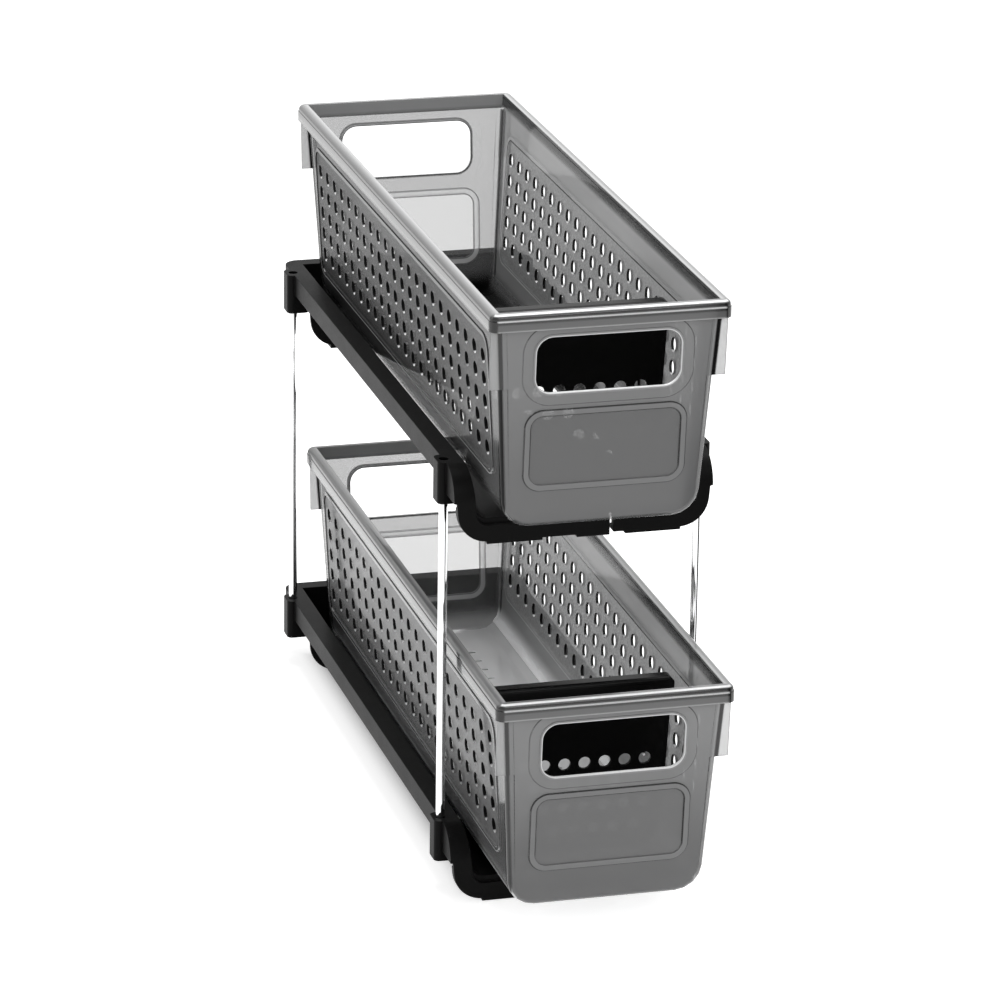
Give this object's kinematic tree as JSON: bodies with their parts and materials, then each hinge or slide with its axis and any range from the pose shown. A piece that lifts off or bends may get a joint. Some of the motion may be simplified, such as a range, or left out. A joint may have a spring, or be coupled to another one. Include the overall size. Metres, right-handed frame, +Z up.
{
  "type": "pull-out cabinet basket",
  "caption": "Narrow two-tier organiser: perforated smoke-grey baskets with handle holes and lift-out dividers slide out of black trays stacked on slim chrome poles.",
  "frame": {"origin": "centre of the bounding box on the surface that the feet stand on", "axes": "+X to the right seen from the front, +Y from the front to the back, +Z up"},
  "size_m": [0.1374, 0.4316, 0.3142],
  "materials": {
    "tray": "satin moulded black",
    "pole": "polished chrome plate",
    "basket": "translucent smoke grey, glossy",
    "divider": "satin moulded black"
  },
  "bodies": {
    "base": {"lower_tray": "tray", "upper_tray": "tray", "pole_front_left": "pole", "pole_front_right": "pole", "pole_back_left": "pole", "pole_back_right": "pole"},
    "lower_slider": {"lower_basket": "basket"},
    "upper_slider": {"upper_basket": "basket"},
    "lower_partition": {"lower_divider": "divider"},
    "upper_partition": {"upper_divider": "divider"}
  },
  "joints": [
    {"name": "lower_basket_slide", "type": "slide", "parent": "base", "child": "lower_slider", "axis": [0, -1, 0], "range_m": [-0.029, 0.221]},
    {"name": "upper_basket_slide", "type": "slide", "parent": "base", "child": "upper_slider", "axis": [0, -1, 0], "range_m": [-0.008, 0.242]},
    {"name": "lower_divider_lift", "type": "slide", "parent": "lower_slider", "child": "lower_partition", "axis": [0, 0, 1], "range_m": [0, 0.07]},
    {"name": "upper_divider_lift", "type": "slide", "parent": "upper_slider", "child": "upper_partition", "axis": [0, 0, 1], "range_m": [0, 0.11]}
  ]
}
